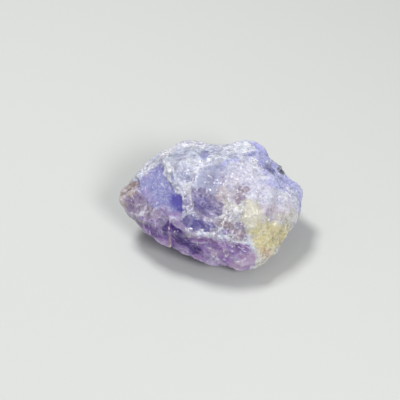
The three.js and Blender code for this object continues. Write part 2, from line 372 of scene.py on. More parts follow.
def painted_shade_in_hollows_light_on_ridges(tree, masks):
    """Painted shade darkens the hollows, and ridges are painted lighter, as light that comes through them."""
    hollow = {"Value": masks["ridge"], "From Min": MIDDLE, "From Max": 0.0, "To Max": 0.32}
    crest = {"Value": masks["ridge"], "From Min": 0.65, "From Max": 1.0, "To Max": 0.2}
    return [
        (add(tree, "MapRange", hollow).outputs[0], PAINTED_HOLLOW_SHADE, "MULTIPLY"),
        (add(tree, "MapRange", crest).outputs[0], linear(WHITE), "MIX"),
    ]


def broken_line(tree, place, nearness, width, size):
    """A thin line where a value comes near 0, in runs of about this size."""
    line = add(tree, "MapRange", {"Value": nearness, "From Max": width, "To Min": 1.0, "To Max": 0.0})
    stretches = add(tree, "TexNoise", {"Vector": place, "Scale": per_mm(size), "Detail": 1.0})
    run = add(tree, "MapRange", {"Value": stretches.outputs["Fac"], "From Min": 0.46, "From Max": 0.6})
    return add(tree, "Math", {0: line.outputs[0], 1: run.outputs[0]}, operation="MULTIPLY").outputs[0]


def cracks(tree, place, bent, masks):
    """Cracks white with air, between the facets and across them, most of all where the stone is crushed."""
    much = add(tree, "MapRange", {"Value": masks["crushed"], "To Min": 0.03, "To Max": 0.7}).outputs[0]
    across = {"Vector": bent, "Scale": per_mm(CRACK), "Detail": 2.0, "Roughness": 0.5}
    across = add(tree, "TexNoise", across).outputs["Fac"]
    across = add(tree, "Math", {0: across, 1: MIDDLE}, operation="SUBTRACT").outputs[0]
    across = add(tree, "Math", {0: across}, operation="ABSOLUTE").outputs[0]
    between = {"Vector": bent, "Scale": per_mm(FACET)}
    between = add(tree, "TexVoronoi", between, feature="DISTANCE_TO_EDGE").outputs["Distance"]
    layers = []
    for nearness, width in [(across, CRACK_ACROSS), (between, CRACK_BETWEEN)]:
        crack = broken_line(tree, place, nearness, width, CRACK_RUN)
        crack = add(tree, "Math", {0: crack, 1: much}, operation="MULTIPLY").outputs[0]
        layers.append((crack, linear(WHITE), "MIX"))
    return layers


def veins_bruises_and_painted_glints(tree, grain_chance, jagged, masks):
    """Veins and bruises are white too, and so are the painted highlights among them. They end along the
    flakes, or softly in glass.
    """
    specks = add(tree, "Math", {0: grain_chance, 1: MIDDLE}, operation="SUBTRACT").outputs[0]
    specks = add(tree, "Math", {0: specks, 1: jagged}, operation="ADD").outputs[0]
    broken = add(tree, "MapRange", {"Value": masks["glass"], "To Min": 1.4, "To Max": 0.4}).outputs[0]
    airy = add(tree, "Math", {0: specks, 1: broken, 2: 1.0}, operation="MULTIPLY_ADD").outputs[0]
    airy = add(tree, "Math", {0: airy, 1: masks["white"]}, operation="MULTIPLY").outputs[0]
    airy = {"Value": airy, "From Min": 0.25, "From Max": 0.9, "To Max": 0.92}
    return [(add(tree, "MapRange", airy).outputs[0], linear(FROST_WHITE), "MIX")]


def painted_glints_on_grains(tree, grain_chance, masks):
    """Painted highlights: a few grains are painted white, as if they faced the light and shone."""
    shine = add(tree, "MapRange", {"Value": grain_chance, "From Min": 0.84, "From Max": 0.92}).outputs[0]
    much = add(tree, "MapRange", {"Value": masks["crushed"], "To Min": 0.12, "To Max": 0.7}).outputs[0]
    shine = add(tree, "Math", {0: shine, 1: much}, operation="MULTIPLY").outputs[0]
    return [(shine, linear(WHITE), "MIX")]


def dullness(tree, flake_chance, masks):
    """Clean breaks are glassy, crushed ones duller, with a glossy flake here and there."""
    dull = add(tree, "MapRange", {"Value": masks["glass"], "To Min": 0.42, "To Max": 0.2}).outputs[0]
    glossy = {"Value": flake_chance, "From Min": 0.3, "From Max": 0.7, "To Min": 0.35}
    glossy = add(tree, "MapRange", glossy).outputs[0]
    glossy = add(tree, "Math", {0: glossy, 1: masks["streaked"]}, operation="MAXIMUM").outputs[0]
    return add(tree, "Math", {0: dull, 1: glossy}, operation="MULTIPLY").outputs[0]


def low_relief(tree, facet_tilt, flake_tilt, grain_tilt, masks):
    """Facets, flakes and grains stand in low relief, lowest where the break is streaked."""
    relief = 0.0
    for tilt, mask, start, end in [
        (facet_tilt, "crushed", 0.12, 0.7),
        (flake_tilt, "crushed", 0.2, 1.1),
        (grain_tilt, "glass", 0.8, 0.06),
    ]:
        much = add(tree, "MapRange", {"Value": masks[mask], "To Min": start, "To Max": end}).outputs[0]
        relief = add(tree, "Math", {0: tilt, 1: much, 2: relief}, operation="MULTIPLY_ADD").outputs[0]
    low = add(tree, "MapRange", {"Value": masks["streaked"], "To Min": 1.0, "To Max": 0.45}).outputs[0]
    relief = add(tree, "Math", {0: relief, 1: low}, operation="MULTIPLY").outputs[0]
    return add(tree, "Bump", {"Height": relief, "Distance": 1.0, "Strength": 1.0}).outputs["Normal"]


def material_hackmanite():
    # Hackmanite, the violet sodalite, fresh from a hammer blow. It is cloudy glass inside: light goes in a
    # little way, blue further than the rest. Its breaks are glassy where they ran clean and frosted where
    # they shattered, so much of the stone glitters finely, and its bruised edges are white.
    material = bpy.data.materials.new("hackmanite_fresh_break")
    material.use_nodes = True
    tree = material.node_tree
    place = add(tree, "TexCoord").outputs["Object"]
    masks = {}
    for name in [*PATCHES, "white", "glass", "crushed", "streaked", "ridge"]:
        masks[name] = add(tree, "Attribute", attribute_name=name).outputs["Fac"]
    bent = wandering(tree, place)
    facet_chance, facet_tilt = flakes(tree, bent, FACET)
    flake_chance, flake_tilt = flakes(tree, bent, FLAKE)
    grain_chance, grain_tilt = flakes(tree, bent, GRAIN)
    jagged = jaggedness(tree, place, flake_chance)

    layers = patches_of_colour(tree, masks, jagged, CLOUDY_COLOURS)
    layers += bubble_veils(tree, bent)
    layers += window_threads(tree, place, masks)
    layers += patches_of_colour(tree, masks, jagged, CLEAR_COLOURS)
    layers += fine_streaks(tree, bent, masks)
    layers += painted_light_on_turned_faces(tree, facet_chance, flake_chance, grain_chance, masks)
    layers += painted_shade_in_hollows_light_on_ridges(tree, masks)
    layers += cracks(tree, place, bent, masks)
    layers += veins_bruises_and_painted_glints(tree, grain_chance, jagged, masks)
    layers += painted_glints_on_grains(tree, grain_chance, masks)
    tint = milky_body(tree, place)
    for amount, colour, blend in layers:
        inputs = {0: amount, 6: tint, 7: colour}
        tint = add(tree, "Mix", inputs, data_type="RGBA", blend_type=blend).outputs[2]

    shader = tree.nodes["Principled BSDF"]
    tree.links.new(tint, shader.inputs["Base Color"])
    tree.links.new(dullness(tree, flake_chance, masks), shader.inputs["Roughness"])
    normal = low_relief(tree, facet_tilt, flake_tilt, grain_tilt, masks)
    tree.links.new(normal, shader.inputs["Normal"])

    # sodalite's own bend of light, which scatters from a third to half a millimetre deep, blue the deepest
    shader.inputs["IOR"].default_value = 1.483
    shader.inputs["Subsurface Weight"].default_value = 0.35
    shader.inputs["Subsurface Radius"].default_value = (1.0, 0.85, 1.5)
    shader.inputs["Subsurface Scale"].default_value = 0.35 * MM
    return material


# The marks on the seen side, as pixels of the photograph.
# A patch is an outline, how soft and how ragged its edge is in pixels, and how strong it is.
PATCHES = {
    "frosted": [
        ([(226, 168), (234, 160), (246, 159), (258, 161), (266, 172), (280, 184), (294, 189), (298, 204),
          (294, 222), (280, 222), (264, 216), (256, 202), (246, 200), (230, 196)], 6, 3, 1.0),
    ],
    "centre_glass": [
        ([(193, 176), (200, 169), (209, 165), (226, 162), (227, 176), (223, 188), (214, 194), (199, 192),
          (192, 189)], 4, 2, 1.0),
        ([(172, 152), (190, 149), (198, 152), (197, 160), (188, 163), (190, 176), (182, 184),
          (172, 170)], 5, 3, 0.6),
        ([(192, 140), (214, 143), (222, 148), (210, 150), (196, 147)], 3, 3, 0.25),
        ([(177, 170), (190, 168), (194, 182), (181, 184)], 4, 2.5, 1.0),
        ([(212, 150), (222, 154), (228, 160), (220, 163), (212, 158)], 3, 2, 0.4),
    ],
    "blue_band": [
        ([(246, 138), (262, 142), (269, 153), (285, 170), (301, 181), (306, 196), (304, 216), (298, 212),
          (299, 198), (293, 188), (283, 184), (274, 184), (263, 172), (257, 158), (246, 158), (250, 150),
          (257, 150)], 3, 2, 1.0),
        ([(229, 158), (240, 158), (240, 162), (229, 163), (222, 168), (221, 165)], 2, 1.5, 0.8),
        ([(274, 176), (289, 184), (294, 192), (278, 192), (262, 180)], 6, 3, 0.8),
        ([(198, 140), (212, 143), (222, 147), (226, 154), (215, 152), (206, 148)], 5, 3, 0.45),
    ],
    "periwinkle": [
        ([(200, 150.5), (216, 150.5), (211, 155), (207, 160), (200, 158.5)], 1.5, 1.5, 0.9),
        # The next patch is painted shadow: the soft blue shade in the groove below the crest lens.
        ([(226, 155), (240, 154.5), (247, 152.5), (257, 151), (258, 157), (247, 158), (240, 156.5),
          (227, 156.5)], 2, 1.5, 0.6),
        ([(263, 163), (270, 165), (275, 172), (271, 174), (264, 168)], 2, 2, 1.0),
        ([(168, 171), (172, 172), (179, 184), (183, 190), (176, 189), (170, 181)], 2, 1.5, 0.8),
        ([(186, 219), (195, 222), (192, 232), (184, 231), (183, 224)], 3, 2, 0.75),
        ([(154, 233), (167, 232), (167, 244), (158, 244), (148, 238)], 3, 1.5, 0.85),
        ([(176, 150), (184, 153), (182, 160), (175, 158)], 3, 2, 0.35),
    ],
    "window": [
        ([(160, 163), (164, 168), (166, 176), (172, 184), (175, 192), (183, 196), (184, 215), (174, 208),
          (160, 200), (148, 190), (143, 178), (150, 169)], 1.0, 1.2, 1.0),
        ([(137, 179), (142, 176), (150, 177), (160, 188), (180, 200), (183, 216), (172, 217), (158, 213),
          (149, 207), (140, 200), (136, 190)], 3, 1.5, 1.0),
    ],
    "smoke": [
        ([(191, 189), (205, 190), (220, 198), (230, 208), (228, 217), (214, 220), (200, 219), (192, 211)],
         4, 2.5, 1.0),
        ([(205, 219), (218, 220), (224, 226), (220, 234), (206, 233), (198, 227)], 4, 3, 0.9),
        ([(192, 174), (196, 173), (195, 184), (192, 184)], 2, 1.5, 0.6),
        ([(200, 151), (209, 151), (206, 158), (200, 158)], 2, 1.5, 0.35),
        ([(112, 194), (124, 195), (131, 200), (129, 208), (116, 210)], 3, 2, 0.7),
        ([(184, 192), (192, 191), (191, 211), (184, 213)], 2, 2, 0.4),
        ([(292, 183), (304, 188), (306, 200), (296, 197)], 3, 2, 0.25),
        ([(237, 187), (248, 187), (248, 195), (238, 196)], 3, 2, 1.0),
        ([(216, 166), (224, 165), (224, 173), (217, 173)], 4, 2, 0.4),
        ([(203, 175), (216, 173), (218, 186), (206, 189)], 4, 2, 0.4),
        ([(189, 238), (206, 240), (231, 242), (234, 247), (214, 247), (205, 256), (196, 250)], 2.5, 2, 0.8),
    ],
    "violet": [
        ([(180, 230), (200, 237), (212, 239), (231, 241), (247, 246), (259, 257), (250, 270), (234, 274),
          (204, 271), (182, 261), (168, 254), (152, 248), (140, 238), (134, 225), (150, 222),
          (170, 219)], 1.5, 1.5, 1.0),
    ],
    "mauve": [
        ([(138, 184), (142, 197), (149, 205), (158, 211), (169, 217), (168, 221), (156, 223), (145, 224),
          (134, 225), (118, 214), (110, 205), (112, 188), (130, 176)], 1.5, 2, 1.0),
        ([(217, 221), (232, 218), (238, 226), (246, 232), (246, 240), (226, 236)], 3, 3, 0.9),
        ([(234, 194), (247, 195), (247, 203), (235, 203)], 3, 3, 0.7),
        ([(217, 172), (229, 171), (230, 188), (219, 188)], 4, 3, 0.55),
        ([(203, 214), (217, 215), (218, 228), (206, 228)], 3, 3, 0.7),
        ([(184, 230), (197, 232), (196, 238), (186, 237)], 1.5, 2.5, 0.9),
        ([(213, 233), (219, 234), (221, 239), (213, 239)], 1.5, 2.5, 0.9),
        ([(229, 237), (238, 238), (238, 242), (230, 242)], 1.5, 2.5, 0.9),
    ],
    "plum": [
        ([(183, 190), (192, 190), (192, 211), (184, 216)], 1.2, 1.5, 0.45),
        ([(143, 225), (160, 220), (170, 219), (169, 240), (156, 238), (148, 232)], 2.5, 1.5, 1.0),
        ([(170, 234), (186, 245), (198, 253), (190, 256), (171, 248)], 2, 1.5, 0.9),
        ([(143, 220), (156, 218), (166, 219), (160, 226), (146, 226)], 2, 2, 0.8),
        ([(123, 198), (131, 199), (132, 206), (125, 206)], 2, 2, 0.45),
        ([(230, 242), (240, 243), (244, 249), (236, 250)], 2, 2.5, 0.4),
        ([(200, 254), (214, 258), (230, 264), (216, 262), (204, 260)], 1.5, 2, 0.45),
        ([(228, 250), (238, 251), (237, 256), (229, 255)], 2, 2, 0.45),
        ([(212, 252), (220, 254), (219, 258), (212, 256)], 1.5, 1.5, 0.45),
        ([(240, 246), (249, 250), (247, 255), (240, 252)], 1.5, 2, 0.4),
        ([(215, 263), (226, 264), (232, 269), (220, 267)], 1.5, 1.5, 0.5),
        ([(222, 230), (229, 230.5), (228, 235), (222, 234.5)], 1, 1, 1.0),
        ([(236, 233), (243, 233), (243, 239), (237, 238)], 1.5, 1.5, 0.7),
        ([(139, 217), (143, 217), (143, 220), (139, 219.5)], 0.8, 0.8, 0.9),
        ([(132, 187), (138, 189), (141, 198), (134, 197)], 2, 1.5, 0.35),
        ([(120, 204), (128, 206), (132, 211), (127, 211)], 2, 1.5, 0.35),
    ],
    "slate": [
        ([(184, 213), (193, 214), (204, 219), (214, 221), (214, 230), (205, 232), (194, 231), (184, 229),
          (181, 222)], 2, 2, 0.95),
        ([(190, 240), (206, 241), (222, 243), (218, 247), (206, 250), (197, 247)], 2, 2, 0.4),
        ([(191, 192), (198, 191), (206, 197), (212, 205), (206, 211), (193, 209)], 5, 2, 0.8),
        ([(204, 198), (214, 203), (220, 212), (214, 219), (203, 217), (200, 208)], 3.5, 2.5, 0.55),
    ],
    "rose": [
        ([(214, 188), (229, 188), (230, 203), (219, 202), (213, 197)], 4, 3, 0.5),
        ([(229, 172), (240, 172), (242, 188), (230, 188)], 4, 3, 0.4),
        ([(230, 178), (248, 182), (252, 199), (240, 203), (229, 196)], 7, 4, 0.35),
        ([(250, 202), (290, 206), (290, 222), (262, 223)], 8, 3, 0.55),
        ([(208, 248), (226, 249), (228, 257), (217, 258), (209, 254)], 2.5, 2.5, 0.5),
        ([(234, 258), (252, 250), (261, 250), (258, 261), (248, 270), (234, 272), (226, 268)], 4, 2, 0.45),
    ],
    "deep_violet": [
        ([(170, 222), (182, 230), (190, 239), (201, 248), (203, 253), (197, 254), (185, 247), (171, 238)],
         2, 1.2, 1.0),
        ([(158, 219), (168, 219), (168, 235), (162, 232)], 2.5, 1.5, 0.8),
        ([(146, 221), (154, 221), (154, 228), (148, 228)], 2, 1.5, 0.55),
        ([(206, 249.5), (211, 254), (220, 258), (230, 264), (228, 266), (218, 261),
          (208, 257)], 1.2, 1, 0.5),
    ],
    "window_depth": [
        ([(170, 194), (190, 193), (190, 211), (184, 215), (176, 211), (170, 204)], 4.5, 0.6, 1.0),
        ([(150, 196), (160, 200), (166, 204), (158, 205), (150, 201)], 3, 1, 0.35),
        ([(150, 186), (156, 187), (155, 192), (149, 191)], 2.5, 1, 0.35),
    ],
    "deep_blue": [
        ([(164, 178), (170, 181), (174, 190), (174, 197), (167, 192), (163, 185)], 4, 2, 0.3),
        ([(159, 166), (164, 168), (167, 178), (161, 176), (156, 170)], 4, 2, 0.45),
        ([(148, 180), (154, 178), (153, 184), (148, 186)], 4, 2, 0.3),
        ([(189, 215), (200, 219.5), (203, 223), (199, 227), (194, 225), (189, 220)], 2.5, 2, 0.35),
        ([(265, 163), (271, 164), (275, 171), (271, 173), (265, 168)], 2, 1, 0.5),
    ],
    "lilac": [
        ([(141, 186), (149, 190), (156, 199), (158, 206), (148, 203), (142, 196)], 4, 2, 0.5),
        ([(160, 206), (170, 211), (183, 213), (183, 220), (168, 218), (158, 211)], 4, 2, 1.0),
        ([(168, 218), (180, 221), (190, 231), (184, 231), (174, 224)], 2, 1.5, 0.9),
        ([(146, 172), (153, 168), (150, 176), (142, 182)], 2.5, 2, 0.6),
        ([(174, 243), (184, 246), (185, 250), (175, 247)], 2, 1.5, 0.55),
        ([(197, 254), (206, 253), (216, 260), (215, 264), (204, 260)], 2.5, 2, 0.8),
        ([(216, 250), (224, 251), (223, 256), (217, 255)], 1.5, 1.5, 0.6),
        ([(230, 257), (240, 257), (238, 261), (230, 261)], 1.5, 1.5, 0.6),
    ],
    "tan": [
        ([(119, 190), (126, 184), (133, 180), (138, 186), (134, 193), (127, 197), (119, 199)], 3.5, 2, 1.0),
        ([(108, 192), (124, 196), (129, 203), (122, 212), (110, 210)], 3, 2, 0.7),
        ([(168.4, 235), (170, 235), (171.5, 248), (167.5, 248)], 1.2, 0.6, 0.9),
        ([(158, 152), (172, 147), (175, 150), (162, 158)], 2.5, 2, 0.35),
        ([(213, 189), (234, 186), (246, 190), (244, 200), (218, 203)], 4, 3, 0.4),
        ([(217, 216), (232, 216), (234, 229), (220, 229)], 3, 3, 0.65),
        ([(230, 226), (246, 228), (246, 240), (232, 240)], 3, 3, 0.5),
        ([(234, 201), (256, 196), (258, 208), (238, 212)], 4, 3, 0.3),
        ([(140, 169), (146, 163), (150, 165), (142, 175)], 2, 1.5, 0.4),
    ],
    "cream": [
        ([(243, 203), (256, 201), (264, 216), (270, 222), (256, 228), (244, 230), (237, 222), (240, 212)],
         5, 2.5, 0.95),
        ([(226, 198), (232, 200), (240, 203), (246, 206), (244, 214), (232, 216), (226, 212)], 3.5, 3, 0.8),
        ([(257, 256), (272, 256), (268, 268), (254, 268)], 2, 1.5, 0.8),
        ([(278, 212), (300, 208), (298, 222), (288, 229), (276, 224)], 5, 4, 0.6),
    ],
    "stain": [
        ([(252, 227), (258, 224), (270, 222), (282, 224), (291, 227), (287, 239), (278, 249), (266, 256),
          (258, 252), (251, 240), (249, 231)], 6, 3, 1.0),
    ],
    "peach": [
        ([(261, 247), (273, 247), (271, 257), (261, 258)], 3, 2, 0.55),
    ],
    "dark_mineral": [
        ([(277, 164), (283, 164), (287, 171), (283, 176), (278, 171)], 0.8, 0.5, 1.0),
    ],
}

# Patches that are white with air. The first two are the lens below the crest.
WHITES = [
    ([(226, 148), (232, 145), (240, 142), (249, 142), (257, 149.5), (252, 151.5), (243, 153), (228, 153.5)],
     0.8, 0.4, 0.6),
    ([(236, 142), (251, 142), (252, 146), (238, 146)], 1, 1, 0.9),
    ([(192, 165), (200, 160), (209, 161), (207, 166), (200, 169), (194, 173)], 1.5, 1.5, 0.65),
    ([(166, 159), (170, 162), (174, 170), (165, 173), (164, 165)], 0.8, 1, 0.9),
    ([(185, 142), (206, 143), (208, 149), (196, 149), (186, 148)], 1.5, 2, 0.85),
    ([(208, 150), (216, 152), (222, 157), (212, 161), (207, 160)], 2, 2, 0.6),
    ([(158, 152), (172, 147), (175, 150), (162, 158)], 1.5, 2, 0.6),
    ([(140, 169), (146, 163), (150, 165), (142, 175)], 1.2, 1.5, 0.45),
    ([(172, 181), (181, 186), (192, 181), (192, 188), (180, 190), (173, 187)], 1.5, 1.5, 0.4),
    ([(249, 158), (258, 159), (257, 163), (250, 163)], 1.2, 1, 0.7),
    ([(276, 189), (288, 188), (292, 196), (288, 204), (279, 200)], 4, 2.5, 0.6),
    ([(195, 234), (204, 231), (212, 233), (216, 237), (206, 238)], 1.5, 3, 0.85),
    ([(218, 236), (225, 235), (231, 239), (224, 240)], 1.5, 3, 0.8),
    ([(233, 239), (240, 241), (247, 243), (240, 244)], 1.5, 3, 0.6),
    ([(212, 227), (219, 226), (221, 234), (216, 234)], 1.5, 3, 0.4),
    ([(227, 206), (240, 205), (241, 214), (229, 214)], 2, 2.5, 0.38),
    ([(215, 215), (227, 216), (227, 220), (216, 219)], 1.2, 1.5, 0.55),
    ([(183, 233), (194, 235), (193, 238), (184, 236)], 1.5, 1.5, 0.45),
    ([(134, 213), (141, 213), (149, 211), (148, 215), (137, 218)], 1.2, 1.5, 0.5),
    ([(184, 190), (191, 189), (191, 196), (185, 197)], 1.5, 2, 0.5),
    ([(182, 211), (186, 211), (185.5, 217), (182, 217)], 0.8, 0.8, 0.6),
]

# White veins: a line, how wide it is in pixels, and how white.
VEINS = [
    ([(164, 171), (166, 176), (172, 183), (176, 187), (183, 190), (190, 186), (193, 178)], 1.4, 0.8),
    ([(145, 172), (153, 166), (161, 163), (165, 160)], 1.2, 0.5),
    ([(183.5, 196), (184, 204), (183, 209), (184.5, 215), (181.5, 220)], 0.9, 0.65),
    ([(191, 190), (191.5, 197), (191, 206), (192, 209), (187, 213), (184.5, 216)], 1.1, 0.8),
    ([(191.5, 214), (198, 218), (204, 220), (211, 221), (218, 218), (226, 214)], 0.8, 0.6),
    ([(168, 217), (172.5, 221), (176, 223.5), (182, 225)], 1.0, 0.3),
    ([(184, 232), (187, 237), (191.5, 242.5)], 0.9, 0.45),
    ([(236, 241), (246, 243), (251, 244), (255, 249)], 1.1, 0.65),
    ([(170.5, 219), (170, 222), (168.8, 226), (168.6, 230)], 0.9, 1.0),
    ([(169, 235), (169.5, 240), (170, 246)], 0.7, 0.6),
    ([(143, 222), (150, 221), (160, 223), (165, 220)], 1.1, 0.3),
    ([(227, 195), (230, 202), (232.5, 208), (235, 215)], 1.2, 1.15),
    ([(234, 212), (238, 206), (243, 201)], 0.9, 0.9),
    ([(236, 214), (241, 210), (247, 211)], 0.9, 0.8),
    ([(238, 204), (243, 206), (246, 210)], 0.8, 0.7),
    ([(223.5, 147), (225.5, 151), (227.5, 154)], 0.9, 0.8),
    ([(181, 146), (192, 145), (200, 147), (212, 151)], 1.6, 0.6),
    ([(153, 180), (157, 183), (160, 187), (162, 191)], 1.6, 0.45),
    ([(153, 171), (158, 166), (162, 167)], 1.6, 0.45),
    ([(158.5, 170), (160, 175), (155, 180), (152, 185), (155, 193)], 1.6, 0.45),
    ([(159, 182), (163, 185), (167, 190)], 2.4, 0.5),
    ([(161.5, 178), (168, 180), (172, 185)], 1.6, 0.5),
    ([(163, 172), (166, 178), (170, 188)], 1.5, 0.4),
    ([(166, 184), (170, 190), (176, 194)], 1.6, 0.45),
    ([(163, 198), (168, 200), (172, 199)], 1.0, 0.4),
    ([(155, 203), (159, 206), (164, 209)], 2.2, 0.45),
    ([(156, 202), (163, 205), (170, 211)], 1.2, 0.5),
    ([(149, 224), (150, 234)], 0.9, 0.6),
    ([(155, 223), (156, 230), (158, 236)], 0.9, 0.6),
    ([(161, 225), (162, 232)], 0.8, 0.6),
    ([(143, 222), (145, 228)], 0.8, 0.5),
    ([(208, 248), (213, 249), (215, 252), (218, 253)], 1.2, 0.55),
    ([(224, 250), (228, 251), (228, 254), (226, 257), (224, 254), (224, 250)], 1.1, 0.6),
    ([(211, 254), (216, 259), (225, 260)], 1.4, 0.5),
    ([(228, 262), (238, 262), (247, 258)], 1.4, 0.5),
    ([(230, 246), (240, 248), (246, 252)], 1.2, 0.5),
    ([(195, 242), (206, 243)], 1.2, 0.4),
    ([(236, 250), (240, 255), (247, 255)], 1.2, 0.5),
    ([(218, 262), (226, 267), (238, 269)], 1.4, 0.45),
    ([(200, 258), (210, 262), (216, 266)], 1.4, 0.4),
    ([(176, 246), (184, 250), (192, 255)], 1.4, 0.4),
    ([(209, 176), (212, 177.5), (212, 179)], 1.3, 0.9),
    ([(262, 217), (265, 220.5), (269, 223)], 1.0, 0.7),
    ([(248, 227), (252, 225), (258, 225)], 0.9, 0.5),
    ([(174, 152), (180, 150), (190, 152), (197, 158), (196, 164)], 0.9, 0.35),
]

# Painted highlights, as small bright spots: where, and how wide in pixels
PAINTED_GLINTS = [
    ((239, 144), 1.5), ((246, 144.5), 2.0), ((267, 161), 1.2), ((279, 173.5), 1.1), ((228, 175), 1.2),
    ((250, 174), 0.9), ((241, 192), 1.0), ((243.5, 194.5), 1.0), ((296, 191), 0.9), ((281, 192), 1.2),
    ((287, 185), 1.0), ((225, 219), 1.2), ((238, 261.5), 1.0), ((245.5, 258.5), 0.9), ((243.5, 249), 0.9),
    ((246, 242.5), 1.6), ((137.5, 216), 1.3), ((147, 212), 1.0), ((143, 221.5), 1.1), ((131, 200), 0.8),
    ((126, 191), 0.9), ((121, 199), 0.8), ((207, 165), 1.4), ((205, 234), 1.6), ((227, 211), 1.1),
    ((197, 190), 0.9), ((186, 240), 0.8), ((178, 231), 0.8), ((175, 231.5), 0.8), ((176, 191), 0.9),
]

# Where the break ran clean, as glass, and where it shattered
GLASS = [
    ([(159, 164), (165, 176), (174, 190), (183, 196), (184, 215), (174, 208), (160, 200), (148, 190),
      (143, 178)], 2, 1, 1.0),
    ([(138, 179), (148, 177), (160, 188), (180, 200), (183, 216), (172, 213), (158, 207), (149, 201),
      (141, 194)], 4, 2, 1.0),
    ([(171, 222), (184, 229), (197, 250), (190, 253), (172, 247)], 1.5, 1, 0.95),
    ([(193, 176), (209, 165), (226, 162), (223, 188), (212, 192), (192, 189)], 3, 1, 0.7),
    ([(184, 215), (199, 220), (201, 229), (190, 232), (182, 224)], 2, 1, 0.8),
    ([(145, 225), (167, 223), (167, 245), (156, 243)], 2, 1, 0.75),
    ([(240, 260), (258, 254), (250, 270), (236, 272), (228, 266)], 3, 1, 0.7),
    ([(172, 152), (190, 149), (198, 152), (197, 160), (188, 163), (190, 176), (182, 184),
      (172, 170)], 5, 3, 0.3),
    ([(200, 151), (212, 152), (206, 159), (200, 158)], 1.5, 1, 0.7),
    ([(243, 204), (256, 203), (262, 216), (254, 225), (244, 226)], 2.5, 1, 0.7),
    ([(233, 217), (243, 217), (243, 233), (234, 233)], 2.5, 1, 0.6),
    ([(230, 145), (248, 144), (256, 149), (243, 152), (230, 152)], 1.5, 1, 0.5),
]
CRUSHED = [
    ([(138, 176), (150, 150), (180, 138), (222, 142), (228, 158), (208, 168), (194, 178), (192, 190),
      (178, 192), (165, 176), (158, 164)], 3, 3, 0.42),
    ([(183, 190), (193, 188), (193, 212), (183, 216)], 2, 2, 1.0),
    ([(180, 228), (200, 232), (206, 220), (246, 203), (248, 242), (236, 244), (200, 239)], 3, 3, 0.85),
    ([(116, 190), (130, 180), (142, 198), (168, 218), (160, 224), (140, 224), (124, 210)], 3, 3, 0.35),
    ([(248, 226), (292, 226), (272, 254), (256, 256)], 3, 3, 0.4),
    ([(190, 240), (232, 243), (250, 250), (238, 262), (212, 261), (196, 252)], 3, 3, 0.6),
    ([(144, 225), (160, 222), (167, 226), (164, 236), (152, 234)], 3, 2, 0.2),
    ([(262, 160), (288, 172), (284, 180), (266, 174)], 3, 2, 0.45),
    ([(232, 184), (248, 184), (250, 202), (234, 202)], 4, 3, 0.6),
]

# Where fine streaks run down a scooped break
STREAKED = [
    ([(192, 190), (208, 191), (224, 202), (232, 214), (216, 222), (200, 220), (191, 211)], 3, 2, 0.9),
    ([(184, 214), (199, 219), (214, 222), (210, 231), (190, 231), (182, 224)], 3, 2, 0.5),
    ([(145, 222), (184, 224), (200, 248), (190, 256), (150, 243)], 2, 1, 0.5),
    ([(190, 241), (232, 245), (250, 250), (250, 270), (234, 274), (206, 265)], 3, 3, 1.0),
]

# Lines where the surface steps: a line, how wide it is in pixels, and how far it stands out in millimetres
STEPS = [
    ([(190, 234), (206, 235), (222, 237), (236, 241.5), (251, 244)], 2.0, 0.09),
    ([(188, 240), (206, 241), (222, 243), (240, 248)], 3.0, -0.16),
    ([(170.5, 219), (170, 224), (168.4, 229), (168.8, 234), (169.5, 240), (170, 246)], 1.5, 0.12),
    ([(227, 195), (230, 202), (232.5, 208), (236, 216)], 1.6, 0.22),
    ([(223, 197), (226, 204), (229, 211)], 2.0, -0.15),
    ([(228, 155.5), (234, 155), (240, 155), (246, 154.5), (257, 154.5)], 2.2, -0.18),
    ([(228, 161.5), (240, 160.5)], 1.2, -0.16),
    ([(171, 248.5), (171.5, 245)], 1.3, -0.4),
    ([(183, 196), (183, 207), (184, 215), (181, 221)], 1.5, 0.14),
    ([(165, 172), (172, 184), (178, 190)], 1.5, 0.1),
    ([(133, 173), (136.5, 180), (139, 187)], 3.0, -0.5),
]

# The seen side fades into the hidden ones between these slopes of the surface to the view.
HIDDEN_SLOPE = -0.5
SEEN_SLOPE = -0.1

# Outlines wander by this many pixels for each step of raggedness, in wide and in fine bends of these sizes in
# millimetres.
WIDE_WOBBLE = 1.6
WIDE_BEND = 1.8
FINE_WOBBLE = 1.2
FINE_BEND = 0.7

# How far veins, painted bright spots and steps wander, in the same steps of raggedness
VEIN_WOBBLE = 0.5
GLINT_WOBBLE = 0.3
STEP_WOBBLE = 0.4

# The share of a vein or a painted bright spot, from its middle, that is full white, and how white such a spot
# is
VEIN_CORE = 0.2
GLINT_CORE = 0.4
GLINT_WHITE = 1.3

# How white crushed stone is at least, and how much of the crushing a clean break takes away
CRUSHED_WHITE = 0.27
CLEAN_BREAK = 0.8

# Hidden sides are violet below about this height in millimetres, and pale above it.
VIOLET_BELOW = 7


def smooth_step(value, low, high):
    """From 0 at the low value to 1 at the high one, with soft ends."""
    t = np.clip((value - low) / (high - low), 0, 1)
    return t * t * (3 - 2 * t)


def line_distance(places, line):
    """How far each place lies from a line of points."""
    line = np.array(line, float)
    nearest = np.full(len(places), np.inf)
    for start, end in zip(line[:-1], line[1:]):
        along = end - start
        share = np.clip(((places - start) @ along) / (along @ along), 0, 1)
        nearest = np.minimum(nearest, np.linalg.norm(places - start - share[:, None] * along, axis=1))
    return nearest


def inside(places, outline):
    """How far inside an outline each place lies. Outside it is negative."""
    closed = outline + outline[:1]
    odd = np.zeros(len(places), bool)
    x, y = places.T
    for (x1, y1), (x2, y2) in zip(closed[:-1], closed[1:]):
        if y1 != y2:
            odd ^= ((y1 > y) != (y2 > y)) & (x < (x2 - x1) * (y - y1) / (y2 - y1) + x1)
    distance = line_distance(places, closed)
    return np.where(odd, distance, -distance)


def strongest(places, wobble, patches):
    """The strongest of the patches at each place."""
    best = np.zeros(len(places))
    for outline, soft, ragged, strength in patches:
        depth = inside(places + ragged * wobble, outline)
        best = np.maximum(best, strength * smooth_step(depth, -soft, soft))
    return best


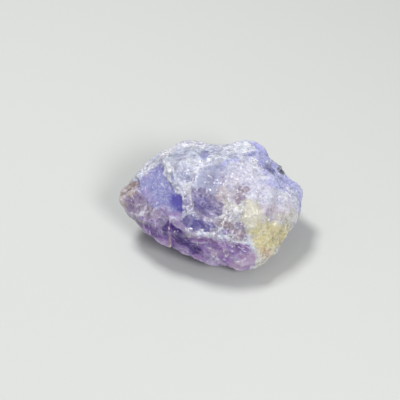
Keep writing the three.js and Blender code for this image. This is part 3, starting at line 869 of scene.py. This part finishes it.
def drift(points, size, seed):
    """Smooth noise from about -1 to 1, with features of this size in millimetres."""
    start = Vector((seed * 7.3, seed * 3.1, seed * 5.7))
    return np.array([noise.noise(Vector(p) / size + start) for p in points])


def drifts(points, size, seeds):
    """Several drifts of one size, one for each direction."""
    return np.stack([drift(points, size, seed) for seed in seeds], axis=1)


def scatter(cells, salt):
    """A repeatable number from 0 to 1 for each cell of a grid. Its factors are only large and unrelated."""
    wave = np.sin(cells @ np.array([127.1, 311.7, 74.7]) + salt * 53.3) * 43758.5453
    return wave - np.floor(wave)


def scatters(cells, salts):
    """Several such numbers for each cell, one for each direction."""
    return np.stack([scatter(cells, salt) for salt in salts], axis=1)


def shells(points, size):
    """Breaks as flat flakes, each tilted its own way and a little hollow, that meet in sharp ridges."""
    spots = points / size
    home = np.floor(spots)
    height = np.full(len(points), np.inf)
    for neighbour in np.ndindex(3, 3, 3):
        cells = home + np.array(neighbour) - 1
        away = spots - (cells + scatters(cells, (1, 2, 3)))
        slope = scatters(cells, (4, 5, 6)) - MIDDLE
        level = SHELL_TILT * (slope * away).sum(1) + SHELL_STEP * (scatter(cells, 7) - MIDDLE)
        height = np.minimum(height, SHELL_HOLLOW * (away**2).sum(1) + level)
    return np.clip(height, -1, 1)


class Surface:
    """The stone's fine mesh as arrays, in millimetres."""

    def __init__(self, piece):
        self.mesh = piece.data
        count = len(self.mesh.vertices)
        self.points = np.empty(count * 3, np.float32)
        self.mesh.vertices.foreach_get("co", self.points)
        self.points = self.points.reshape(-1, 3).astype(float) / MM
        self.edges = np.empty(len(self.mesh.edges) * 2, np.int32)
        self.mesh.edges.foreach_get("vertices", self.edges)
        self.edges = self.edges.reshape(-1, 2)
        self.read_normals()

    def read_normals(self):
        normals = np.empty(len(self.mesh.vertices) * 3, np.float32)
        self.mesh.vertices.foreach_get("normal", normals)
        self.normals = normals.reshape(-1, 3).astype(float)

    def move(self, heights):
        """Moves the surface along its normals, and keeps the flat spot that the stone rests on."""
        resting = self.points[:, 2] < RESTING_HEIGHT
        heights = np.where(resting, 0, heights)
        self.points = self.points + self.normals * heights[:, None]
        self.points[:, 2] = np.where(resting, 0, np.maximum(self.points[:, 2], 0))
        self.mesh.vertices.foreach_set("co", (self.points * MM).astype(np.float32).ravel())
        self.mesh.update()
        self.read_normals()

    def above_surroundings(self, rounds):
        """How far each point stands above its surroundings, averaged over this many steps of the grid."""
        count = len(self.points)
        near, far = self.edges.T
        shares = 1 / np.bincount(self.edges.ravel(), minlength=count)
        calm = self.points.copy()
        for _ in range(rounds):
            from_far = [np.bincount(near, axis[far], count) for axis in calm.T]
            from_near = [np.bincount(far, axis[near], count) for axis in calm.T]
            calm = np.stack(np.add(from_far, from_near), axis=1) * shares[:, None]
        return ((self.points - calm) * self.normals).sum(1)

    def keep(self, name, values):
        """Keeps a value for each point, which the material reads by its name."""
        layer = self.mesh.attributes.new(name, "FLOAT", "POINT")
        layer.data.foreach_set("value", np.clip(values, 0, 1).astype(np.float32))


def fine_stone():
    """A copy of the solid with its small faces smoothed into an even fine grid."""
    bpy.ops.object.select_all(action="DESELECT")
    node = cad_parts[NODE]
    node.select_set(True)
    bpy.context.view_layer.objects.active = node
    bpy.ops.object.duplicate()
    stone = bpy.context.object
    stone.name = "broken_stone"
    stone.parent = None
    for key in list(stone.keys()):
        del stone[key]
    bpy.ops.object.mode_set(mode="EDIT")
    bpy.ops.mesh.select_all(action="SELECT")
    bpy.ops.mesh.remove_doubles(threshold=ONE_POINT * MM)
    bpy.ops.object.mode_set(mode="OBJECT")
    grid = stone.modifiers.new("even grid", "REMESH")
    grid.mode = "VOXEL"
    grid.voxel_size = GRID * MM
    bpy.ops.object.modifier_apply(modifier=grid.name)
    soften = stone.modifiers.new("soften small faces", "SMOOTH")
    soften.factor = SMOOTH_SHARE
    soften.iterations = SMOOTH_ROUNDS
    bpy.ops.object.modifier_apply(modifier=soften.name)
    bpy.ops.object.shade_smooth()
    return stone


def white_marks(places, wobble, breaks):
    """Bruises and veins, and painted highlights as bright spots."""
    white = strongest(places, wobble, WHITES)
    for line, width, strength in VEINS:
        distance = line_distance(places + VEIN_WOBBLE * wobble, line)
        white = np.maximum(white, strength * breaks * smooth_step(-distance, -width, -VEIN_CORE * width))
    # painted highlights: small white spots
    for spot, width in PAINTED_GLINTS:
        distance = np.linalg.norm(places + GLINT_WOBBLE * wobble - spot, axis=1)
        white = np.maximum(white, GLINT_WHITE * smooth_step(-distance, -width, -GLINT_CORE * width))
    return white


def mark_seen_side(places, wobble, breaks, seen):
    """The patches and marks of the seen side, each as a value for every point of the stone."""
    masks = {name: seen * strongest(places, wobble, patches) for name, patches in PATCHES.items()}
    masks["window_depth"] *= masks["window"]
    masks["glass"] = seen * strongest(places, wobble, GLASS)
    masks["crushed"] = seen * (1 - CLEAN_BREAK * masks["glass"]) * strongest(places, wobble, CRUSHED)
    masks["white"] = seen * np.maximum(white_marks(places, wobble, breaks), CRUSHED_WHITE * masks["crushed"])
    masks["streaked"] = seen * strongest(places, wobble, STREAKED)
    return masks


def mark_hidden_sides(masks, points, hidden):
    """The hidden sides carry the same colours in drifting patches, pale above and violet below."""
    border = VIOLET_BELOW - points[:, 2] + 7 * drift(points, 7, seed=21) + 2 * drift(points, 2, seed=29)
    below = hidden * smooth_step(border, 0, 3)
    band = drift(points, 8, seed=22) + 0.3 * drift(points, 2, seed=30)
    bluish = drift(points, 5, seed=23) + 0.4 * drift(points, 1.5, seed=31)
    masks["violet"] += 0.9 * below
    masks["plum"] += below * smooth_step(drift(points, 4, seed=27), 0.05, 0.3)
    masks["slate"] += 0.8 * below * smooth_step(drift(points, 5, seed=28), 0.1, 0.3)
    masks["blue_band"] += hidden * smooth_step(band, 0, 0.3)
    masks["periwinkle"] += hidden * smooth_step(bluish, 0.1, 0.6)
    masks["cream"] += 0.5 * hidden * smooth_step(drift(points, 7, seed=24), 0.25, 0.45)
    masks["crushed"] += 0.6 * hidden * smooth_step(drift(points, 5, seed=25), -0.1, 0.25)
    masks["white"] += 0.5 * hidden * smooth_step(drift(points, 3, seed=26), 0.25, 0.5)
    masks["streaked"] += 0.8 * below


def heights_of_breaks(points, masks):
    """How far shell-shaped breaks, chips and frost stand out of the surface, in millimetres."""
    rough = (1 - LOWER_IN_GLASS * masks["glass"]) * (1 - LOWER_IN_SMOKE * masks["smoke"])
    rough *= UNCRUSHED_SHARE + (1 - UNCRUSHED_SHARE) * masks["crushed"]
    bent = points + 0.35 * drifts(points, size=1.6, seeds=(41, 42, 43))
    breakage = SHELL_DEPTH * shells(bent, SHELL_SIZE) + CHIP_DEPTH * shells(bent, CHIP_SIZE)
    breakage -= breakage.mean()
    breakage *= 1 - LOWER_IN_FROST * masks["frosted"]
    return rough * (breakage + FROST_DEPTH * drift(points, FROST_SIZE, seed=31))


def heights_of_steps(places, wobble, breaks):
    """How far the lines stand out where the surface steps, in millimetres."""
    steps = np.zeros(len(places))
    for line, width, height in STEPS:
        steps += height * breaks * smooth_step(-line_distance(places + STEP_WOBBLE * wobble, line), -width, 0)
    return steps


def main():
    camera()
    studio()
    table()
    stone = fine_stone()
    surface = Surface(stone)
    points = surface.points
    places = seen_places(points)
    slope = surface.normals @ OUT + 0.25 * drift(points, size=2.5, seed=51)
    seen = smooth_step(slope, HIDDEN_SLOPE, SEEN_SLOPE)

    # outlines wander, and veins and steps are not equally strong all along
    wobble = WIDE_WOBBLE * drifts(points, WIDE_BEND, seeds=(1, 2))
    wobble += FINE_WOBBLE * drifts(points, FINE_BEND, seeds=(11, 12))
    breaks = np.clip(0.85 + 1.2 * drift(points, size=1.0, seed=5), 0, 1)
    masks = mark_seen_side(places, wobble, breaks, seen)
    mark_hidden_sides(masks, points, 1 - seen)
    surface.move(heights_of_breaks(points, masks) + seen * heights_of_steps(places, wobble, breaks))
    # how far each point stands above its surroundings, for the painted shade in hollows and the painted light
    # on ridges
    masks["ridge"] = MIDDLE + 0.5 * surface.above_surroundings(RIDGE_ROUNDS) / RIDGE_HEIGHT
    for name, values in masks.items():
        surface.keep(name, values)

    stone.data.materials.clear()
    stone.data.materials.append(material_hackmanite())
    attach(stone, "root")
    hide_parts(NODE)


main()
